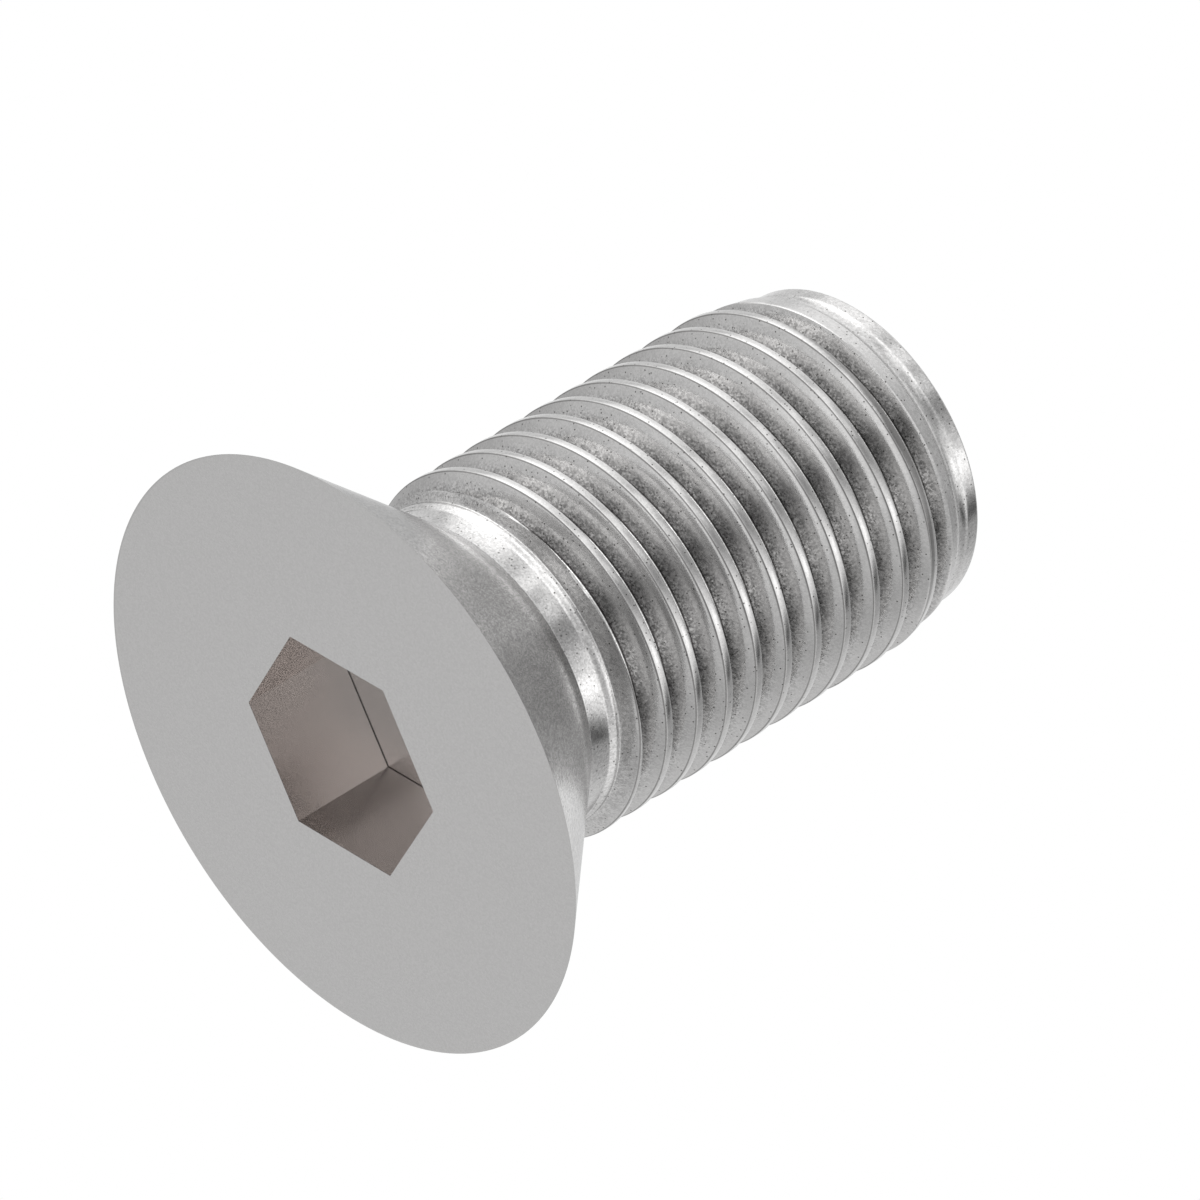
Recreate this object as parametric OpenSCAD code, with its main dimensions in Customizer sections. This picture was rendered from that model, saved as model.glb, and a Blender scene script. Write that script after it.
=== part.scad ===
// Countersunk socket head screw with a fine right-hand thread, in one solid piece of steel.
// It stands on the flat face of its head: that face lies on Z = 0, and its middle is the origin.
// The shank points up along +Z. All lengths are in millimetres.

/* [Head] */
// Diameter of the flat face of the head, at its sharp rim
head_d = 23.1; // [21:0.1:26]
// Full angle of the cone under the head, in degrees
head_angle = 82; // [76:1:92]
// Radius of the fillet where the cone meets the neck
fillet_r = 0.9; // [0.4:0.1:1.3]

/* [Socket] */
// Width of the hexagonal socket across its flats
socket_af = 8; // [5:0.5:9]
// Depth of the socket, from the head face to its flat floor
socket_depth = 4.4; // [3:0.1:5.4]

/* [Neck] */
// Diameter of the plain neck between head and thread
neck_d = 12.5; // [12:0.1:12.5]
// Length of the neck, from the foot of the cone to the first flank of the thread
neck_l = 1.25; // [1:0.05:3]

/* [Thread] */
// Outer diameter of the thread, over its crests
thread_d = 14; // [13.8:0.1:14.6]
// Rise of the thread in one turn
pitch = 1.5; // [1.3:0.05:1.6]
// Depth of the thread, from crest to root
thread_depth = 0.7; // [0.6:0.05:0.72]
// Width of the flat land along each crest
crest_w = 0.3; // [0.2:0.05:0.4]
// Angle between the two flanks of the thread, in degrees
flank_angle = 60; // [56:1:62]
// Angle round the screw at which the groove starts, in degrees from the +X axis
start_angle = 180; // [0:5:355]

/* [End] */
// Overall length, from the head face to the end of the shank
length = 25.6; // [20:0.1:45]
// Length of the tapered lead-in at the end
lead_l = 3.1; // [2:0.1:4]
// Diameter of the end face
end_d = 12.8; // [12.7:0.1:13.4]

/* [Smoothness] */
// Flat steps in one turn of the thread
thread_steps = 60; // [36:6:72]
// Flat steps in one turn of the head, neck and crests
round_steps = 120; // [72:12:180]

/* [Hidden] */
steel = [0.6, 0.59, 0.58];

head_r = head_d / 2;
neck_r = neck_d / 2;
crest_r = thread_d / 2;
root_r = crest_r - thread_depth;
end_r = end_d / 2;

// Foot of the cone: where its straight side would meet the neck
cone_slope = tan(head_angle / 2);
cone_foot = (head_r - neck_r) / cone_slope;

// Fillet between cone and neck: an arc that touches both
fillet_tangent = fillet_r * tan(head_angle / 4);
fillet_z = cone_foot + fillet_tangent;
fillet_steps = 12;

// First flank of the thread, which rises from the neck at the thread's own flank angle
flank_run = tan(flank_angle / 2);
thread_start = cone_foot + neck_l;
shoulder_end = thread_start + (crest_r - neck_r) * flank_run;

// Groove between two crests, from its flat root to just outside the crests
root_w = pitch - crest_w - 2 * thread_depth * flank_run;
groove_over = 0.1;
groove_mouth_r = crest_r + groove_over;
groove_mouth_w = root_w + 2 * (thread_depth + groove_over) * flank_run;

// The groove comes out of the first flank a short way before it bites, and runs off the end
run_in = 0.15 * pitch;
groove_from = thread_start - root_w / 2 + (root_r - neck_r) * flank_run - run_in;
groove_to = length + groove_mouth_w / 2 + groove_over;
groove_steps = ceil((groove_to - groove_from) / pitch * thread_steps);

// Points of the fillet, from the cone round to the neck
function fillet_points() = [
    for (i = [0:fillet_steps])
        let (a = head_angle / 2 * (1 - i / fillet_steps))
        [neck_r + fillet_r * (1 - cos(a)), fillet_z - fillet_r * sin(a)]
];

// Half section of the screw without its socket and thread, as [radius, height]
function half_section() = concat(
    [[0, 0], [head_r, 0]],
    fillet_points(),
    [
        [neck_r, thread_start],
        [crest_r, shoulder_end],
        [crest_r, length - lead_l],
        [end_r, length],
        [0, length]
    ]
);

module blank() {
    rotate_extrude($fn = round_steps) polygon(half_section());
}

// The hexagonal hole that takes the key, open at the head face, with two corners on the X axis
module socket() {
    key_over = 1;
    hex_corner_r = socket_af / 2 / cos(30);
    translate([0, 0, -key_over])
        cylinder(h = socket_depth + key_over, r = hex_corner_r, $fn = 6);
}

// Section of the groove as [radius, height], with the root flat first
groove_section = [
    [root_r, -root_w / 2],
    [groove_mouth_r, -groove_mouth_w / 2],
    [groove_mouth_r, groove_mouth_w / 2],
    [root_r, root_w / 2]
];

// One ring of points: the section turned to its angle and raised along the helix
function groove_ring(i) =
    let (a = start_angle + 360 * i / thread_steps, z = groove_from + pitch * i / thread_steps)
    [for (p = groove_section) [p[0] * cos(a), p[0] * sin(a), z + p[1]]];

// The helical groove between the crests, as one swept solid
module thread_groove() {
    n = len(groove_section);
    points = [for (i = [0:groove_steps]) each groove_ring(i)];
    sides = [
        for (i = [0:groove_steps - 1], j = [0:n - 1])
            let (a = i * n + j, b = i * n + (j + 1) % n)
            each [[a, b + n, a + n], [a, b, b + n]]
    ];
    last = groove_steps * n;
    caps = [
        for (j = [1:n - 2])
            each [[0, j + 1, j], [last, last + j, last + j + 1]]
    ];
    polyhedron(points = points, faces = concat(sides, caps), convexity = 20);
}

module socket_screw() {
    color(steel)
        difference() {
            blank();
            socket();
            thread_groove();
        }
}

socket_screw();
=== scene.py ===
# %% [markdown]
# # A countersunk socket head screw in a white studio
#
# The screw is one piece of satin steel: a flat conical head with a hexagonal socket, a short
# plain neck, and a shank with a fine thread. It stands on its head, with the shank pointing up.
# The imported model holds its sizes. This script dresses it: a finer skin, a steel finish, a
# floor, soft light and the camera of the photograph.

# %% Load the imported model
import math

import bmesh
import bpy
from mathutils import Matrix, Vector


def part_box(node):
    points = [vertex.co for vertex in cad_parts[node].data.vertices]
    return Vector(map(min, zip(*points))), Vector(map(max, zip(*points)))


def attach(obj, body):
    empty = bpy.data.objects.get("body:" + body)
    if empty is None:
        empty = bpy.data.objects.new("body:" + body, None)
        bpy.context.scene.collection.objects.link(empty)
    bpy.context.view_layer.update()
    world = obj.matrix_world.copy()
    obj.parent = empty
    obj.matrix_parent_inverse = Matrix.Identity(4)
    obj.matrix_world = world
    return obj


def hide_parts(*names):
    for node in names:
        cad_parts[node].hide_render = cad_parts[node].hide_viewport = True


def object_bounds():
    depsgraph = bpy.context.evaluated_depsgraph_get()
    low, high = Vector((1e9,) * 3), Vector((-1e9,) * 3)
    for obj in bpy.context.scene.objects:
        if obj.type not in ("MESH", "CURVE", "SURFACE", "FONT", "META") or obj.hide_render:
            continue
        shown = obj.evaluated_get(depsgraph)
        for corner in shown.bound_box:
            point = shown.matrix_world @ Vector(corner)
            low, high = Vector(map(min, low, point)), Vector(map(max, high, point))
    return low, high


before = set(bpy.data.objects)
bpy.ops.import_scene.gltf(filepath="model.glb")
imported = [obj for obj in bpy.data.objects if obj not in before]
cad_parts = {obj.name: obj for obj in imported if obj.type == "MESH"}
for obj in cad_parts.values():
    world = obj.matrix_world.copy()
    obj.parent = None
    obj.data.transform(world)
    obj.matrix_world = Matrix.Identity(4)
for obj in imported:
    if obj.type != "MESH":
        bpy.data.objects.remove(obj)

cad_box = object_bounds()
print("packed model, from and to in metres:", cad_box[0][:], cad_box[1][:])

# %% [markdown]
# ## Sizes
#
# Blender counts in metres, and a screw is drawn in millimetres, so each length is written as
# millimetres times MM. The head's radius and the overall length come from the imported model.
# The rest are the sizes that the screw was turned and threaded to.

# %% Sizes of the head and the neck
MM = 0.001
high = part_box("socket_screw")[1]
head_r = high.x
length = high.z
cone_half_angle = math.radians(41)
neck_r = 6.25 * MM
neck_l = 1.25 * MM
socket_flat_r = 4.0 * MM
socket_depth = 4.4 * MM
cone_foot = (head_r - neck_r) / math.tan(cone_half_angle)
print("head", round(2 * head_r / MM, 2), "mm across, length", round(length / MM, 2), "mm")
print("the cone ends", round(cone_foot / MM, 2), "mm above the head's face")

# %% Sizes of the thread
crest_r = 7.0 * MM
pitch = 1.5 * MM
thread_depth = 0.9 * MM
crest_w = 0.3 * MM
flank_run = math.tan(math.radians(30))
root_r = crest_r - thread_depth
thread_start = cone_foot + neck_l
shoulder_end = thread_start + (crest_r - neck_r) * flank_run
land_end = length - 1.4 * MM
print("thread from", round(thread_start / MM, 2), "to", round(land_end / MM, 2), "mm")

# %% [markdown]
# ## Camera
#
# The photograph looks at the screw from the head's side, through a long lens, with the picture
# turned so that the screw lies aslant. A camera that only aims at a point keeps its top up, so
# it is built from three turns: round the screw, up or down, and a roll about its own line of
# sight. It stands lower than the floor, because the head, which the screw stands on, faces it.

# %% Turn the camera's three angles into one rotation
view_azimuth = math.radians(-135.18)
view_elevation = math.radians(-34.65)
view_roll = math.radians(58.92)

back = Vector((
    math.sin(view_azimuth) * math.cos(view_elevation),
    -math.cos(view_azimuth) * math.cos(view_elevation),
    math.sin(view_elevation),
))
upright = (-back).to_track_quat("-Z", "Y").to_matrix().to_4x4()
camera_turn = upright @ Matrix.Rotation(view_roll, 4, "Z")
print("from the screw to the camera:", [round(part, 3) for part in back])

# %% Place the camera
view_distance = 0.34228
nearest_seen = 0.01
centre = (cad_box[0] + cad_box[1]) / 2

camera_data = bpy.data.cameras.new("studio_camera")
camera_data.lens = 289.56
camera_data.sensor_width = 36.0
camera_data.clip_start = nearest_seen
camera = bpy.data.objects.new("studio_camera", camera_data)
camera.matrix_world = Matrix.Translation(centre + back * view_distance) @ camera_turn
bpy.context.scene.collection.objects.link(camera)
bpy.context.scene.camera = camera
bpy.context.scene.view_settings.view_transform = "Standard"
print("camera at", [round(part / MM, 1) for part in camera.location], "mm")

# %% [markdown]
# ## Shader sums as plain Python
#
# A material in Blender is a net of nodes. Written out, each sum takes a node and two links.
# The small class below wraps one output of a node and gives it plus, minus and times, so a
# formula can be written as it is thought, also with a plain number in front, as in 1 - mask.
# Every other node comes from one method, which sets the node's own settings first and then
# fills its sockets with values or links.

# %% A wire, and the net it belongs to
class Wire:
    def __init__(self, net, socket):
        self.net = net
        self.socket = socket

    def math(self, operation, *values):
        return self.net.node("ShaderNodeMath", {"operation": operation}, dict(enumerate(values)))

    def __add__(self, other):
        return self.math("ADD", self, other)

    def __sub__(self, other):
        return self.math("SUBTRACT", self, other)

    def __rsub__(self, other):
        return self.math("SUBTRACT", other, self)

    def __mul__(self, other):
        return self.math("MULTIPLY", self, other)

    __radd__ = __add__
    __rmul__ = __mul__


class Net:
    def __init__(self, owner):
        owner.use_nodes = True
        self.tree = owner.node_tree
        self.tree.nodes.clear()

    def node(self, kind, settings=None, sockets=None, output=0):
        made = self.tree.nodes.new(kind)
        for name, value in (settings or {}).items():
            setattr(made, name, value)
        for name, value in (sockets or {}).items():
            if isinstance(value, Wire):
                self.tree.links.new(value.socket, made.inputs[name])
            else:
                made.inputs[name].default_value = value
        return Wire(self, made.outputs[output]) if made.outputs else made

    def between(self, value, start, stop):
        """A soft step: 0 at start, 1 at stop, and a smooth rise from one to the other."""
        return self.node(
            "ShaderNodeMapRange",
            {"interpolation_type": "SMOOTHSTEP"},
            {"Value": value, "From Min": start, "From Max": stop},
        )


print("shader helpers ready")

# %% [markdown]
# ## Light
#
# A polished or satin metal has no colour of its own to speak of: it shows the room. Product
# photographers put it in a white tent with a few large soft lamps, and hold up dark cards where
# an edge has to stand out. The world's own light can be that tent. It is plain white, as white
# as the background of the picture, so the steel shows about the colour that it is given. Each
# lamp or card is a soft round patch in one direction, and it adds to the tent's light or takes
# from it. Many patches were tried one by one, and these brought the steel's brightness nearest
# to the photograph's.

# %% The lamps and the dark cards
# Each row says degrees right of and above the line from the screw to the camera, degrees from
# the middle of the patch to its edge, and how much light it adds or takes.
patches = {
    "lamp high in front": (17, 43, 35, 1.32),
    "lamp overhead left": (-48, 73, 35, 1.04),
    "lamp overhead left behind": (-100, 61, 35, 0.98),
    "lamp right": (75, -10, 35, 0.85),
    "lamp right, narrow": (81, -5, 9, 0.81),
    "lamp high right, narrow": (64, 38, 9, 0.68),
    "lamp overhead behind": (175, 69, 35, 0.66),
    "lamp high right, narrow 2": (65, 58, 9, 0.65),
    "lamp underneath right behind": (99, -65, 35, 0.46),
    "lamp high right behind": (102, 39, 35, 0.41),
    "lamp high left": (-68, 47, 35, 0.37),
    "lamp low left": (-30, -20, 35, 0.36),
    "lamp low in front": (-18, -45, 35, 0.22),
    "lamp left": (-43, 1, 35, 0.16),
    "card behind, narrow": (172, 0, 14, -0.25),
    "card left behind": (-128, 4, 35, -0.25),
    "card underneath left": (-38, -69, 35, -0.26),
    "card low right behind": (107, -19, 35, -0.4),
    "card behind, narrow 2": (170, 14, 14, -0.42),
    "card high behind, narrow": (-166, 51, 9, -0.43),
    "card low in front": (2, -29, 35, -0.47),
    "card right": (82, 24, 35, -0.56),
    "card low right behind, narrow": (99, -22, 12, -0.66),
}
lamp_count = sum(strength > 0 for _, _, _, strength in patches.values())
print(lamp_count, "lamps and", len(patches) - lamp_count, "dark cards")

# %% One soft patch of light
world = bpy.data.worlds.new("studio")
bpy.context.scene.world = world
sky = Net(world)
outward = sky.node("ShaderNodeTexCoord", output="Generated")


def from_camera(right_deg, up_deg):
    """The direction that many degrees right of and above the way from the screw to the camera."""
    right, up = math.radians(right_deg), math.radians(up_deg)
    seen = Vector((math.sin(right) * math.cos(up), math.sin(up), math.cos(right) * math.cos(up)))
    return camera_turn.to_3x3() @ seen


def soft_patch(right_deg, up_deg, edge_deg):
    """1 in the middle of the patch, falling softly to 0 at edge_deg from it."""
    nearness = sky.node(
        "ShaderNodeVectorMath",
        {"operation": "DOT_PRODUCT"},
        {0: outward, 1: from_camera(right_deg, up_deg)},
        output="Value",
    )
    return sky.between(nearness, math.cos(math.radians(edge_deg)), 1.0)


print("a patch of light can be put anywhere round the screw")

# %% Hang the lamps and cards in a white tent
plain_white = (1, 1, 1, 1)
tent_level = 1.0

level = tent_level
for right_deg, up_deg, edge_deg, strength in patches.values():
    level = soft_patch(right_deg, up_deg, edge_deg) * strength + level
tent = sky.node("ShaderNodeBackground", sockets={"Color": plain_white, "Strength": level})
backdrop = sky.node("ShaderNodeBackground", sockets={"Color": plain_white, "Strength": 1.0})
camera_ray = sky.node("ShaderNodeLightPath", output="Is Camera Ray")
seen_sky = sky.node("ShaderNodeMixShader", sockets={0: camera_ray, 1: tent, 2: backdrop})
sky.node("ShaderNodeOutputWorld", sockets={"Surface": seen_sky})
print("tent light:", len(sky.tree.nodes), "nodes")

# %% [markdown]
# ## Floor
#
# The screw stands on a plain pale floor that runs out into the white. The photograph's camera
# looks from underneath, so the floor is a one-way sheet: seen from above it is a floor with the
# screw's shadow on it, and from below, or to light on its way to the head, it isn't there.

# %% The floor's sheet
floor_size = 1.2
floor_gap = 0.02 * MM

floor_mesh = bpy.data.meshes.new("floor")
reach = floor_size / 2
corners = [(-reach, -reach, 0), (reach, -reach, 0), (reach, reach, 0), (-reach, reach, 0)]
floor_mesh.from_pydata(corners, [], [(0, 1, 2, 3)])
floor = bpy.data.objects.new("floor", floor_mesh)
floor.location.z = -floor_gap
bpy.context.scene.collection.objects.link(floor)
print("floor", floor_size, "m wide,", floor_gap / MM, "mm under the head")

# %% The floor's one-way paint
floor_colour = (0.86, 0.86, 0.86, 1)
floor_lift = 0.2
fade_from, fade_to = 0.03, 0.16

floor_paint = bpy.data.materials.new("floor_paint")
paint = Net(floor_paint)
spot = paint.node("ShaderNodeTexCoord", output="Object")
away = paint.node("ShaderNodeVectorMath", {"operation": "LENGTH"}, {0: spot}, output="Value")
matt = paint.node("ShaderNodeBsdfDiffuse", sockets={"Color": floor_colour})
lift = paint.node("ShaderNodeEmission", sockets={"Color": plain_white, "Strength": floor_lift})
pale = paint.node("ShaderNodeAddShader", sockets={0: matt, 1: lift})
blank_white = paint.node("ShaderNodeEmission", sockets={"Color": plain_white, "Strength": 1.0})
fade = paint.between(away, fade_from, fade_to)
faded = paint.node("ShaderNodeMixShader", sockets={0: fade, 1: pale, 2: blank_white})
to_camera = paint.node("ShaderNodeLightPath", output="Is Camera Ray")
underside = paint.node("ShaderNodeNewGeometry", output="Backfacing")
clear = paint.node("ShaderNodeBsdfTransparent")
seen = to_camera * (1 - underside)
one_way = paint.node("ShaderNodeMixShader", sockets={0: seen, 1: clear, 2: faded})
paint.node("ShaderNodeOutputMaterial", sockets={"Surface": one_way})
floor_mesh.materials.append(floor_paint)
print("the floor fades out from", fade_from, "to", fade_to, "m")

# %% [markdown]
# ## Steel
#
# One steel bar makes the whole screw, so one material dresses it, but each part of it was worked
# in its own way. The face of the head is ground, the socket is pressed, the cone is turned, and
# the rolls that made the thread rubbed its crests and flanks. Separate materials would leave a
# hard line where two of them meet. Soft masks, which the shader works out from each point's
# place on the screw, let one finish run into the next. The same masks place painted shade and
# painted highlights.

# %% Each point's place on the screw
steel = bpy.data.materials.new("satin_steel")
metal = Net(steel)
place = metal.node("ShaderNodeTexCoord", output="Object")
x, y, z = (metal.node("ShaderNodeSeparateXYZ", sockets={0: place}, output=i) for i in range(3))
radius = metal.node("ShaderNodeMath", {"operation": "SQRT"}, {0: x * x + y * y})


def band(value, start, stop, soft):
    """1 where value lies from start to stop, and 0 outside, with soft edges."""
    return metal.between(value, start - soft, start) * metal.between(value, stop + soft, stop)


print("the steel knows its height and its distance from the axis")

# %% Soft masks for the face, the socket, the cone and the thread
face_from, face_to = 0.01 * MM, 0.03 * MM
socket_soft = 0.02 * MM
part_soft = 0.05 * MM
rim_zone = 0.08 * MM
flank_zone = 0.15 * MM
socket_corner_r = socket_flat_r / math.cos(math.pi / 6)

on_face = metal.between(z, face_to, face_from)
in_socket = band(radius, 0, socket_corner_r + socket_soft, socket_soft)
in_socket = in_socket * band(z, face_to, socket_depth + socket_soft, socket_soft)
smooth = on_face + in_socket
on_cone = band(z, rim_zone, cone_foot, part_soft) * (1 - in_socket)
in_thread = metal.between(z, thread_start, shoulder_end)
in_thread = in_thread * metal.between(z, land_end + part_soft, land_end)
rubbed = metal.between(radius, root_r + flank_zone, crest_r - flank_zone) * in_thread
groove = (1 - rubbed) * in_thread
print("socket corners", round(2 * socket_corner_r / MM, 2), "mm apart")

# %% [markdown]
# ### Grain
#
# Steel that was tumbled after it was turned and rolled is a satin field of very fine grains.
# Each one tilts the light by a few degrees, so the metal sparkles wherever its reflection runs
# from bright to dark. Relief alone could make that, but strong relief this fine turns to noise
# in a short render. So a weak relief bends the reflections a little, and flecks of lighter and
# darker steel carry the rest. The flecks are cells that fill space, which the slope of the cone
# cuts into blotches, so the cone gets flat cells of its own, laid out round the axis.

# %% Grain for the relief, and flecks for the colour
grain_size = 0.055 * MM
fleck_size = 0.065 * MM

grain = metal.node(
    "ShaderNodeTexNoise",
    {"noise_dimensions": "3D"},
    {"Vector": place, "Scale": 1 / grain_size, "Detail": 1.0, "Roughness": 0.5},
)
fleck_colour = metal.node(
    "ShaderNodeTexVoronoi",
    {"feature": "F1"},
    {"Vector": place, "Scale": 1 / fleck_size},
    output="Color",
)
fleck = metal.node("ShaderNodeSeparateColor", sockets={0: fleck_colour})
print("grains", round(grain_size / MM, 3), "mm and flecks", round(fleck_size / MM, 3), "mm wide")

# %% Flecks of the cone, laid out round the axis
cone_fleck_size = 0.05 * MM
cone_mid_r = (head_r + neck_r) / 2
cone_stretch = 0.6

round_axis = metal.node("ShaderNodeMath", {"operation": "ARCTAN2"}, {0: y, 1: x})
unrolled = metal.node(
    "ShaderNodeCombineXYZ", sockets={0: round_axis * cone_mid_r, 1: radius * cone_stretch}
)
cone_colour = metal.node(
    "ShaderNodeTexVoronoi",
    {"feature": "F1", "voronoi_dimensions": "2D"},
    {"Vector": unrolled, "Scale": 1 / cone_fleck_size},
    output="Color",
)
cone_fleck = metal.node("ShaderNodeSeparateColor", sockets={0: cone_colour})
fleck = fleck + (cone_fleck - fleck) * on_cone
print("flecks of the cone", round(cone_fleck_size / MM, 3), "mm wide")

# %% [markdown]
# ### Pits and painted shade lines
#
# Here and there the tumbling left a tiny dark pit. Thin dark lines round the floor of the socket
# and along the edges of the thread are painted shade, where those corners and edges fall dark. A
# pit is the middle of a cell of a coarser pattern. The painted shade lines follow the sizes of the
# screw: a radius for the thread, and for the socket the height of its floor and the distance to
# the hexagon's walls. Painted lines could drift from the edges, but sums on the same sizes can't.

# %% Tiny dark pits
pit_cell = 0.24 * MM
pit_size = 0.036 * MM
pit_core = 0.7
pit_share = pit_size / pit_cell

cells = metal.node(
    "ShaderNodeTexVoronoi", {"feature": "F1"}, {"Vector": place, "Scale": 1 / pit_cell}
)
pit = metal.between(cells, pit_share, pit_share * pit_core) * (1 - smooth)
print("pits up to", round(2 * pit_size / MM, 3), "mm wide")

# %% Painted shade line round the socket's floor
# Width of the painted shade lines, also used for the painted highlight along the groove floor.
painted_line_width = 0.05 * MM
line_core = 0.6

across, along = (metal.node("ShaderNodeMath", {"operation": "ABSOLUTE"}, {0: v}) for v in (y, x))
slanted = along * math.cos(math.pi / 6) + across * math.sin(math.pi / 6)
to_wall = metal.node("ShaderNodeMath", {"operation": "MAXIMUM"}, {0: across, 1: slanted})
near_floor = metal.between(z, socket_depth - painted_line_width, socket_depth - line_core * painted_line_width)
near_wall = metal.between(
    to_wall, socket_flat_r - painted_line_width, socket_flat_r - line_core * painted_line_width
)
# Painted shade where the socket's walls meet its floor.
socket_floor_shade_line = near_floor * in_socket * near_wall
print("the line round the socket's floor is", round(painted_line_width / MM, 3), "mm wide")

# %% Painted shade lines along the thread, and all that is dark
crest_painted_shade = 0.55
root_painted_shade = 0.6
floor_painted_shade = 0.6
pit_dark = 0.9

# Painted shade just under the crests and at the roots' corners.
crest_shade_line = band(radius, crest_r - 0.8 * painted_line_width, crest_r - 0.2 * painted_line_width, 0.2 * painted_line_width)
root_shade_line = band(radius, root_r + 0.4 * painted_line_width, root_r + 1.2 * painted_line_width, 0.3 * painted_line_width)
thread_shade_lines = (crest_shade_line * crest_painted_shade + root_shade_line * root_painted_shade) * in_thread
painted_shade_lines = socket_floor_shade_line * floor_painted_shade + thread_shade_lines
# Pits, and the painted shade lines, as one dark share.
dark = metal.node("ShaderNodeMath", {"operation": "MAXIMUM"}, {0: pit * pit_dark, 1: painted_shade_lines})
print("scale on the crests", crest_painted_shade, "on the roots", root_painted_shade, "on the floor", floor_painted_shade)

# %% [markdown]
# ### The finish, put together
#
# The base colour is plain steel, with a painted fill light in the socket, where less light gets
# in: the colour there is a little warmer and lighter. The masks then say how strong the flecks
# are on each part and how bright it is. The grooves carry painted shade, apart from a painted
# highlight along their floor, and the cone is painted a little lighter and the face a touch
# darker. The dark tone covers pits and the painted shade lines last. The grain goes into the
# bump and, a little, into the roughness.

# %% How bright each part of the bare steel is, with painted shade and painted highlights
# A painted highlight: a bright line along the floor of each groove.
root_painted_highlight = metal.between(radius, root_r + 0.6 * painted_line_width, root_r + 0.3 * painted_line_width)
root_painted_highlight = root_painted_highlight * in_thread


def by_zone(base, *zones):
    """The base, plus each zone's own share where its mask is 1."""
    for mask, share in zones:
        base = mask * share + base
    return base


fleck_share = by_zone(0.35, (on_cone, 0.3), (groove, 0.4), (smooth, -0.28), (rubbed, -0.2))
flecked = (fleck - 0.5) * fleck_share + 1
# Painted light on the bare steel: painted shade in the grooves, the painted highlight along their
# floor, the cone painted lighter and the face a touch darker.
bright = by_zone(flecked, (groove, -0.2), (root_painted_highlight, 0.6), (on_cone, 0.1), (on_face, -0.03))
print("masks and flecks:", len(metal.tree.nodes), "nodes so far")

# %% Colour of the steel, its painted fill light in the socket, its pits and its painted shade lines
steel_colour = (0.448, 0.444, 0.441, 1)
# The socket's colour is a painted fill light: lighter and warmer than the steel, where less light
# gets in.
socket_painted_fill_colour = (0.63, 0.6, 0.585, 1)
dark_colour = (0.05, 0.047, 0.045, 1)


def mixed(share, first, second):
    """A colour on its way from the first to the second."""
    return metal.node(
        "ShaderNodeMix", {"data_type": "RGBA"}, {0: share, 6: first, 7: second}, output=2
    )


bare = mixed(in_socket, steel_colour, socket_painted_fill_colour)
shade = metal.node("ShaderNodeVectorMath", {"operation": "SCALE"}, {0: bare, "Scale": bright})
# The dark tone lays the pits and the painted shade lines over the steel.
tone = mixed(dark, shade, dark_colour)
print("steel", steel_colour[:3], "and in the socket", socket_painted_fill_colour[:3])

# %% The satin steel
grain_height = 0.0013 * MM
smooth_share = 0.1
pit_depth = 0.5

relief = metal.node(
    "ShaderNodeBump",
    sockets={
        "Strength": 1.0,
        "Distance": grain_height,
        "Height": grain * (1 - smooth * (1 - smooth_share)) - pit * pit_depth,
    },
)
satin = metal.node(
    "ShaderNodeBsdfPrincipled",
    sockets={
        "Base Color": tone,
        "Metallic": 1.0,
        "Roughness": by_zone(0.12, (grain, 0.06), (smooth, 0.03)),
        "Normal": relief,
    },
)
metal.node("ShaderNodeOutputMaterial", sockets={"Surface": satin})
print("satin steel:", len(metal.tree.nodes), "nodes")

# %% [markdown]
# ## The screw's skin
#
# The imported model's thread is made of flat steps, which a mirror-like finish would show. The
# skin is drawn again, finer, on the same sizes. Think of a sheet of paper wrapped round the
# screw: every point has an angle and a height, and its radius follows from them. Where the
# groove of the thread passes, the radius is the groove's, and elsewhere it is the blank's.
# A soft minimum of the two rounds the edges of the thread by a few hundredths of a millimetre,
# as a rolled thread has them. A swept cutter could cut the same groove, but it would leave its
# own seams, and the edges would still have to be rounded.

# %% Soft corners and crowned flanks
edge_soft = 0.04 * MM
crown = 0.06 * MM


def soft_min(a, b, width):
    """The smaller of a and b, with the corner between them rounded."""
    overlap = max(width - abs(a - b), 0) / width
    return min(a, b) - overlap * overlap * width / 4


def soft_max(a, b, width):
    return -soft_min(-a, -b, width)


def eased(share):
    """The same share from 0 to 1, with a soft start and end."""
    return share * share * (3 - 2 * share)


def share_between(value, start, stop):
    """0 up to start, 1 from stop on, and a straight rise from one to the other."""
    return min(max((value - start) / (stop - start), 0), 1)


def crowned(share, foot_r, top_r):
    """Radius at that share of the way up a flank, which bulges a little in its middle."""
    bulge = 4 * share * (1 - share) if 0 < share < 1 else 0
    return foot_r + (top_r - foot_r) * share + crown * bulge


print("edges rounded over", round(edge_soft / MM, 3), "mm")
print("flanks crowned by", round(crown / MM, 3), "mm")

# %% [markdown]
# The end of the shank was turned before the thread was rolled. The thread ends on a taper,
# behind it lies a hollow with a shallow waist, and the last stretch is a short plain rod, so
# that the screw finds its hole. The hollow is an arc that leaves the taper and reaches the
# depth of the waist, and its radius follows from those two points.

# %% Radius of the turned end
end_r = 6.4 * MM
lead_l = 3.1 * MM
waist_z = length - 0.8 * MM
waist_depth = 0.045 * MM
hollow_run = waist_z - land_end
hollow_drop = (length - land_end) * (crest_r - end_r) / lead_l + waist_depth
hollow_r = (hollow_run**2 + hollow_drop**2) / (2 * hollow_drop)


def end_radius(z):
    """The taper that the thread ends on, then a hollow with a shallow waist, and a plain rod."""
    if z < land_end:
        return end_r + (length - z) * (crest_r - end_r) / lead_l
    rise = hollow_r - math.sqrt(max(hollow_r**2 - (z - waist_z) ** 2, 0))
    hollow = end_r - waist_depth + rise
    return hollow if z < waist_z else soft_min(hollow, end_r, waist_depth / 3)


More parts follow.
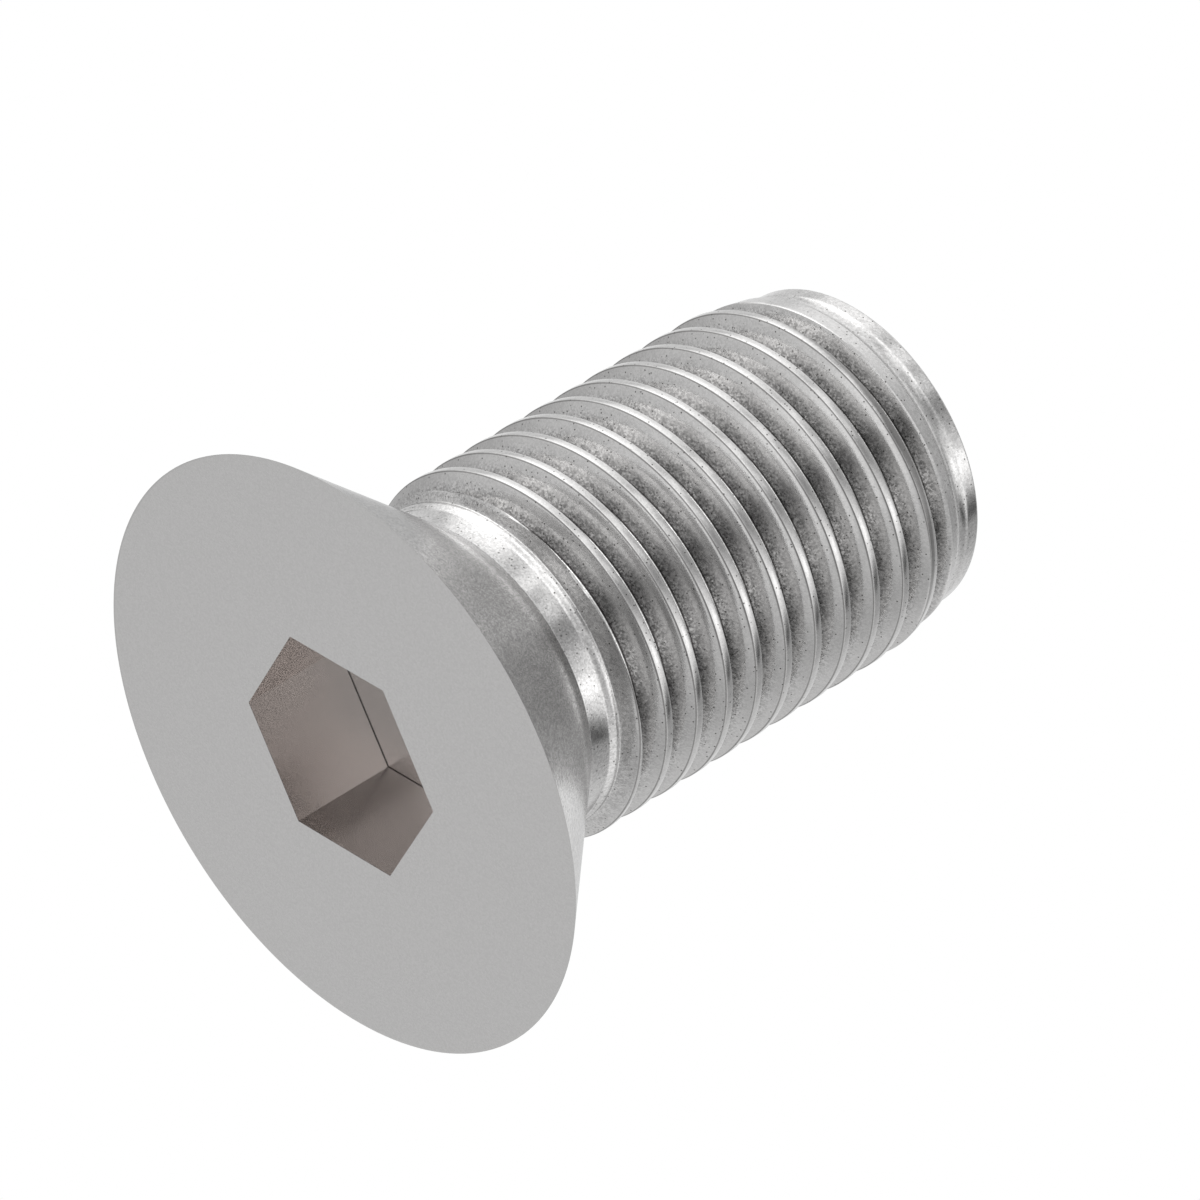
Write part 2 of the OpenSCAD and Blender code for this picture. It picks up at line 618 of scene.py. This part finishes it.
print("hollow of radius", round(hollow_r / MM, 2), "mm,", round(hollow_run / MM, 2), "mm long")

# %% [markdown]
# At the other end of the shank the cone meets the neck in a crease that is almost sharp, and
# before the first flank the neck rises by a small soft collar, where the turning tool stopped.
# Both catch a thin line of light, so they are drawn although they are only a tenth of a
# millimetre high.

# %% Radius of the blank before threading
foot_soft = 0.08 * MM
end_round = 0.08 * MM
collar_from = thread_start - 0.4 * MM
collar_to = thread_start - 0.08 * MM
collar_rise = 0.11 * MM


def blank_radius(z):
    """The shank before threading: neck, collar, first flank, full diameter and turned end."""
    flank = crowned((z - thread_start) / (shoulder_end - thread_start), neck_r, crest_r)
    shank = soft_min(soft_min(flank, crest_r, edge_soft), end_radius(z), edge_soft)
    collar = eased(share_between(z, collar_from, collar_to))
    shank = soft_max(neck_r + collar_rise * collar, shank, foot_soft)
    past = max(z - (length - end_round), 0)
    return shank - (end_round - math.sqrt(max(end_round**2 - past**2, 0)))


print("neck", round(2 * neck_r / MM, 2), "mm and collar", round(collar_rise / MM, 2), "mm high")

# %% [markdown]
# The groove is one spiral. Its place in height rises by one pitch with each turn, so the middle
# of the groove at any angle is found by rounding to the nearest turn. It starts as deep as the
# neck, so that it grows out of the first flank, and it runs out behind the last crest, as the
# groove of a rolled thread does.

# %% Radius of the groove
groove_lead = 0.15 * pitch
root_w = pitch - crest_w - 2 * thread_depth * flank_run
groove_from = thread_start - root_w / 2 + (root_r - neck_r) * flank_run - groove_lead
run_in_r = neck_r + collar_rise + 0.02 * MM
run_in_from = 0.25
run_in_turns = 0.5
run_out_from = 11.15
run_out_turns = 0.25


def groove_radius(z, turn):
    """The groove's wall at that height, where turn counts turns from where the groove starts."""
    turns_up = (z - groove_from) / pitch - turn
    lap = round(turns_up)
    off_centre = abs(turns_up - lap) * pitch
    wall = crowned((off_centre - root_w / 2) / (thread_depth * flank_run), root_r, crest_r)
    begun = share_between(lap + turn, run_in_from, run_in_from + run_in_turns)
    ended = share_between(lap + turn, run_out_from, run_out_from + run_out_turns)
    floor_r = root_r + (run_in_r - root_r) * (1 - eased(begun))
    floor_r += (crest_r + edge_soft - floor_r) * eased(ended)
    return soft_max(floor_r, wall, edge_soft)


def shank_radius(z, turn):
    return soft_min(blank_radius(z), groove_radius(z, turn), edge_soft)


print("groove root", round(2 * root_r / MM, 2), "mm across")
print("root flat", round(root_w / MM, 3), "mm wide")

# %% [markdown]
# The rows of points follow the helix, so that each edge of the thread lies along a row and
# comes out clean. Rows crowd together at the four corners of the thread's section and are wide
# apart on its flats. A few level rows are added for what goes straight round: the foot of the
# first flank, the collar, the edge of the taper and the hollow.

# %% Rows of one turn of the thread, measured from the groove's middle
corner_reach = edge_soft * flank_run
root_corner = root_w / 2
crest_corner = root_corner + thread_depth * flank_run
flank_rows = 6


def spread(start, stop, count):
    """count values strictly between start and stop."""
    return [start + (stop - start) * (i + 1) / (count + 1) for i in range(count)]


def round_corner(at):
    return [at + corner_reach * share for share in (-1, -0.5, 0, 0.5, 1)]


half = round_corner(root_corner)
half += spread(root_corner + corner_reach, crest_corner - corner_reach, flank_rows)
half += round_corner(crest_corner)
section_rows = [-x for x in reversed(half)] + [0.0] + half + [pitch / 2]
print(len(section_rows), "rows in each turn")

# %% Level rows for what goes straight round
foot_rows = 4
collar_rows = 8
hollow_rows = 8
past_waist = 3
land_soft = 0.03 * MM

level_rows = [
    thread_start + foot_soft * flank_run * x / foot_rows for x in range(-foot_rows, foot_rows + 1)
]
level_rows += [shoulder_end + corner_reach * x for x in (-1, 0, 1)]
level_rows += [
    collar_from + (collar_to - collar_from) * x / collar_rows for x in range(collar_rows + 1)
]
level_rows += [land_end + land_soft * x for x in (-1, -0.01, 0.5, 1)]
level_rows += [
    land_end + hollow_run * x / hollow_rows for x in range(1, hollow_rows + past_waist + 1)
]
print(len(level_rows), "level rows")

# %% [markdown]
# One column of points runs from the middle of the socket's floor up its wall, out over the
# face, round the rim, along the cone and the shank, and in to the middle of the end. A hexagon's
# wall lies nearer to the axis in the middle of each side than at a corner, so its distance
# depends on the angle. A few points close to each edge keep the shading of the flats even.

# %% Points of the head, from the socket's floor to the neck
rim_round = 0.03 * MM
rim_support = 0.1 * MM
mouth_support = 0.05 * MM
floor_support = 0.97
fillet_r = 0.06 * MM
fillet_steps = 4
fillet_tangent = fillet_r * math.tan(cone_half_angle / 2)


def socket_radius(angle):
    """Distance from the axis to the hexagon's wall; a corner lies at angle 0."""
    sixth = math.pi / 3
    return socket_flat_r / math.cos((angle % sixth) - sixth / 2)


def head_points(angle):
    wall = socket_radius(angle)
    points = [(0.0, socket_depth), (wall * floor_support, socket_depth)]
    points += [(wall, socket_depth), (wall, 0.0), (wall + mouth_support, 0.0)]
    points += [(head_r - rim_support, 0.0), (head_r - rim_round, 0.0)]
    rim = Vector((head_r, 0.0))
    rim_middle = Vector((-rim_round * 0.15, rim_round * 0.25))
    down_cone = Vector((-math.sin(cone_half_angle), math.cos(cone_half_angle)))
    rim_steps = (rim_middle, down_cone * rim_round, down_cone * rim_support)
    points += [tuple(rim + step) for step in rim_steps]
    for i in range(fillet_steps + 1):
        a = cone_half_angle * (1 - i / fillet_steps)
        z = cone_foot + fillet_tangent - fillet_r * math.sin(a)
        points.append((neck_r + fillet_r * (1 - math.cos(a)), z))
    return points


print(len(head_points(0.0)), "points from the socket's floor to the neck")

# %% [markdown]
# The shank takes its heights from the rows of each turn, raised with the angle. A row that would
# start below the first flank or end past the screw is pinned to that height, and the points that
# then fall on each other are merged when the columns are joined.

# %% Points of the shank and of a whole column
columns = 168
start_turn = 0.5
thread_from = thread_start - 0.3 * MM
thread_to = length - 1.5 * end_round
spare_turns = 2
turns = math.ceil((thread_to - groove_from) / pitch) + spare_turns
end_steps = (1, 0.75, 0.5, 0.25, 0.08, 0)
end_support = 0.2 * MM


def shank_points(turn):
    heights = [
        groove_from + pitch * (k + turn) + row for k in range(turns) for row in section_rows
    ]
    heights = sorted([min(max(z, thread_from), thread_to) for z in heights] + level_rows)
    heights += [length - end_round * share for share in end_steps]
    return [(shank_radius(z, turn), z) for z in heights]


def column_points(column):
    turn = column / columns
    angle = 2 * math.pi * turn
    shank = shank_points(turn - start_turn)
    profile = head_points(angle) + shank
    profile += [(shank[-1][0] - end_support, length), (0.0, length)]
    return [(r * math.cos(angle), r * math.sin(angle), z) for r, z in profile]


grid = [column_points(column) for column in range(columns + 1)]
rows = len(grid[0])
print(columns, "columns round the screw, with", rows, "points in each")

# %% Join the columns into one closed skin
merge_within = 0.0001 * MM

skin = bpy.data.meshes.new("screw_skin")
points = [point for column in grid for point in column]
faces = [
    (c * rows + r, (c + 1) * rows + r, (c + 1) * rows + r + 1, c * rows + r + 1)
    for c in range(columns)
    for r in range(rows - 1)
]
skin.from_pydata(points, [], faces)
shape = bmesh.new()
shape.from_mesh(skin)
bmesh.ops.remove_doubles(shape, verts=shape.verts, dist=merge_within)
bmesh.ops.recalc_face_normals(shape, faces=shape.faces)
print(len(points), "points, of which", len(shape.verts), "are left once merged")

# %% Shade it smooth, apart from its sharp edges
sharp_above = math.radians(32)

for edge in shape.edges:
    edge.smooth = edge.calc_face_angle(0.0) < sharp_above
for face in shape.faces:
    face.smooth = True
open_edges = sum(not edge.is_manifold for edge in shape.edges)
volume = shape.calc_volume() / MM**3
triangles = sum(len(face.verts) - 2 for face in shape.faces)
shape.to_mesh(skin)
shape.free()
print(triangles, "triangles,", open_edges, "open edges,", round(volume, 1), "mm3 of steel")

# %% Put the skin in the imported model's place
skin.materials.append(steel)
screw = bpy.data.objects.new("screw_skin", skin)
bpy.context.scene.collection.objects.link(screw)
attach(screw, "root")
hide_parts("socket_screw")
print(screw.name, "stands for socket_screw")
